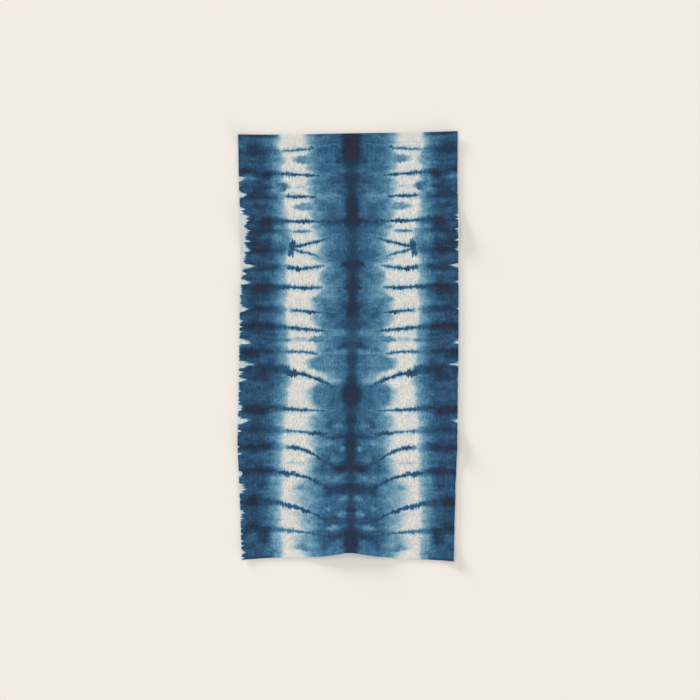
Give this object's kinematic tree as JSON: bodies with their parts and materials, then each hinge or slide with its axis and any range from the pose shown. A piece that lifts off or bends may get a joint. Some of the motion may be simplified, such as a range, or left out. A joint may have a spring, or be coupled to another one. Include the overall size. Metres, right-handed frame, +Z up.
{
  "type": "bath towel",
  "caption": "Rectangular cotton terry bath towel with an indigo shibori print, lying face up with soft cross folds, curled edges and an arch in its bottom hem.",
  "frame": {"origin": "on the surface that the towel lies on, under the centre of its bounding box", "axes": "+Z up, +Y along the towel to its top end, +X across the towel to its right side, seen from above"},
  "size_m": [0.7731, 1.5022, 0.0302],
  "materials": {
    "printed_terry": "matt cotton pile, indigo shibori print on off-white",
    "undyed_terry": "matt cotton pile left undyed, on the back of the same cloth"
  },
  "bodies": {
    "root": {"towel": "printed_terry"}
  },
  "joints": []
}
